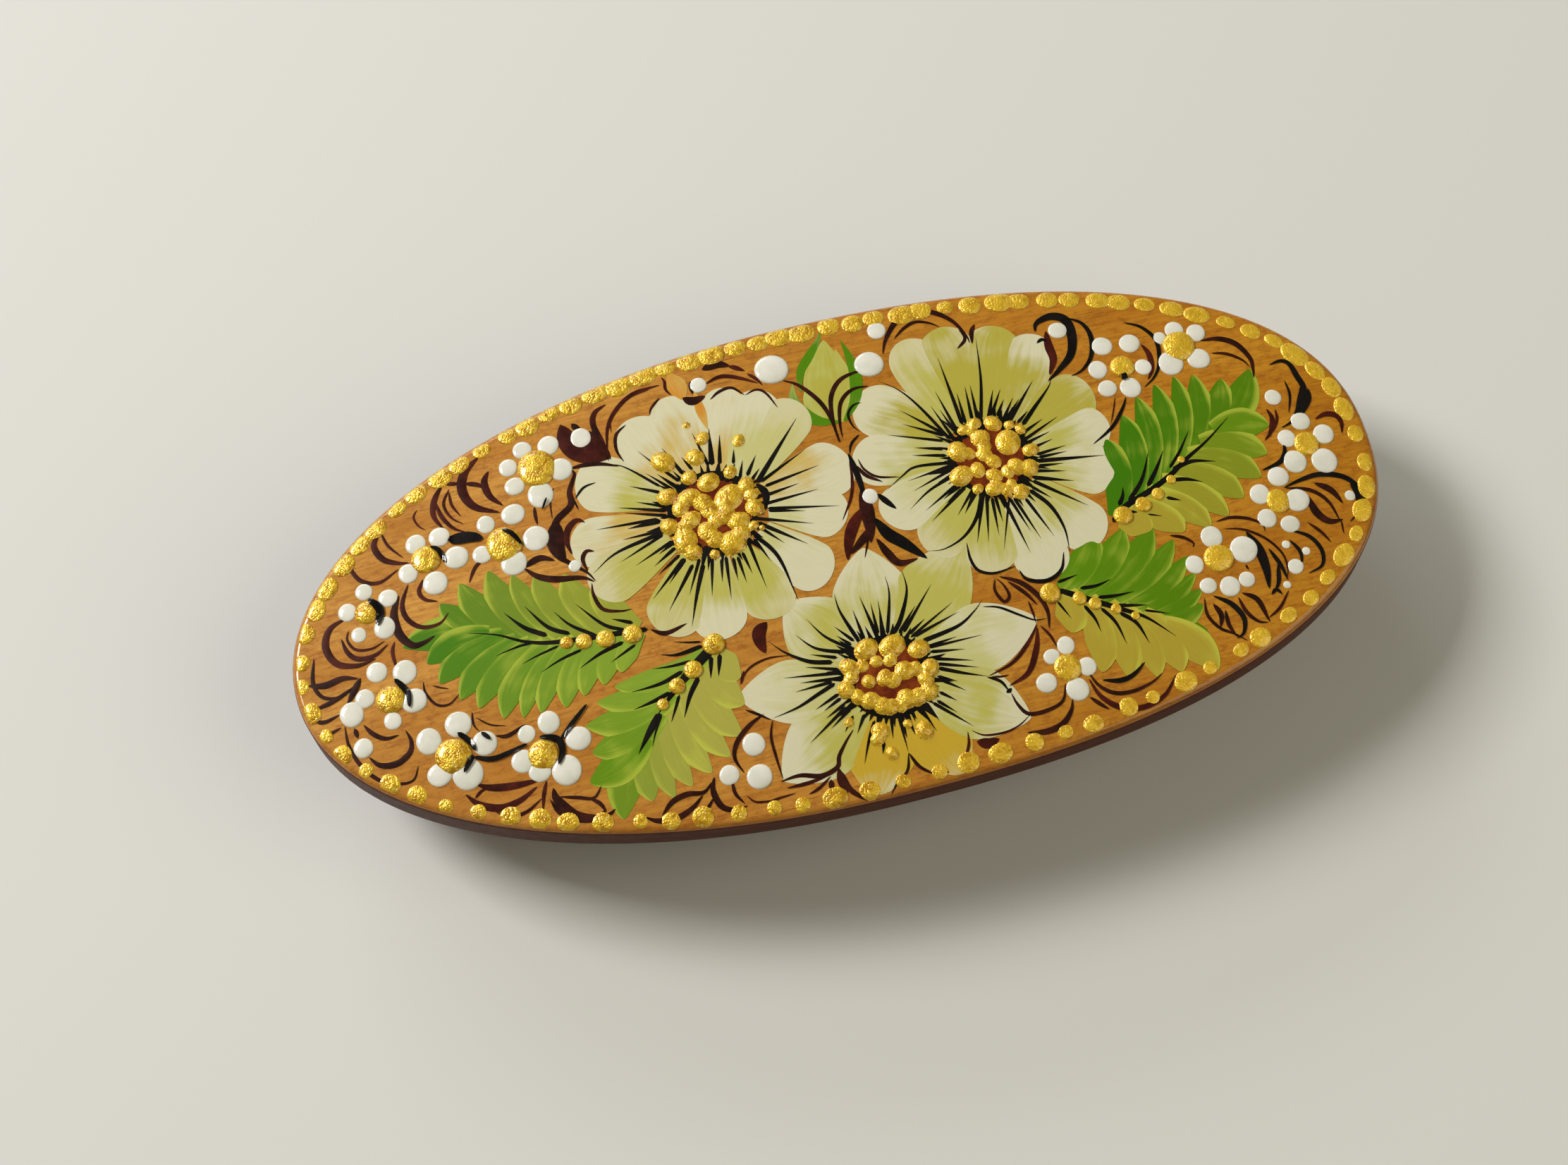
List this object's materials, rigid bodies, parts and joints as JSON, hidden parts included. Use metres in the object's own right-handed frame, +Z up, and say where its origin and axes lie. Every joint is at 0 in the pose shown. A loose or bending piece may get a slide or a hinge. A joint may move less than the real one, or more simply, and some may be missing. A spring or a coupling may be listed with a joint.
{
  "type": "decorative hair pin",
  "caption": "Oval arched wooden hair barrette with a painted flower face and a spring clip: swinging clasp arm, bowed tension strip and two pinch tabs.",
  "frame": {"origin": "on the surface that the clip stands on, under the middle of the plate", "axes": "+X along the plate's length towards the catch, +Z up out of the decorated face, +Y across to the back edge"},
  "size_m": [0.1, 0.0466, 0.0153],
  "materials": {
    "lacquered_wood": "honey-stained hardwood under clear gloss lacquer",
    "nickel_steel": "bright nickel-plated stamped sheet",
    "spring_steel": "satin nickel-plated spring strip",
    "zinc_screw": "zinc-plated screw",
    "petal_paint": "cream and yellow-green brushed paint under lacquer",
    "leaf_paint": "green and olive brushed paint under lacquer",
    "white_dot_paint": "raised white enamel dots",
    "gold_paint": "raised metallic gold paint",
    "line_paint": "black and dark brown brush lines"
  },
  "bodies": {
    "plate_and_base": {"wooden_plate": "lacquered_wood", "base_bar": "nickel_steel", "catch_plate": "nickel_steel", "catch_rivet": "nickel_steel", "hinge_pin": "nickel_steel", "tension_bow": "spring_steel", "mounting_screws": "zinc_screw"},
    "clasp": {"clasp_arm": "nickel_steel"},
    "front_tab": {"pinch_tab_front": "spring_steel"},
    "back_tab": {"pinch_tab_back": "spring_steel"}
  },
  "joints": [
    {"name": "clasp_hinge", "type": "hinge", "parent": "plate_and_base", "child": "clasp", "pos_m": [-0.033, 0, 0.002], "axis": [0, 1, 0], "range_deg": [0, 100], "deforming": ["tension_bow"]},
    {"name": "front_tab_pinch", "type": "hinge", "parent": "plate_and_base", "child": "front_tab", "pos_m": [0.033, -0.002, 0.0086], "axis": [1, 0, 0], "range_deg": [0, 5], "stiffness_Nm_per_rad": 0.2},
    {"name": "back_tab_pinch", "type": "hinge", "parent": "plate_and_base", "child": "back_tab", "pos_m": [0.033, 0.002, 0.0086], "axis": [-1, 0, 0], "range_deg": [0, 5], "stiffness_Nm_per_rad": 0.2}
  ]
}
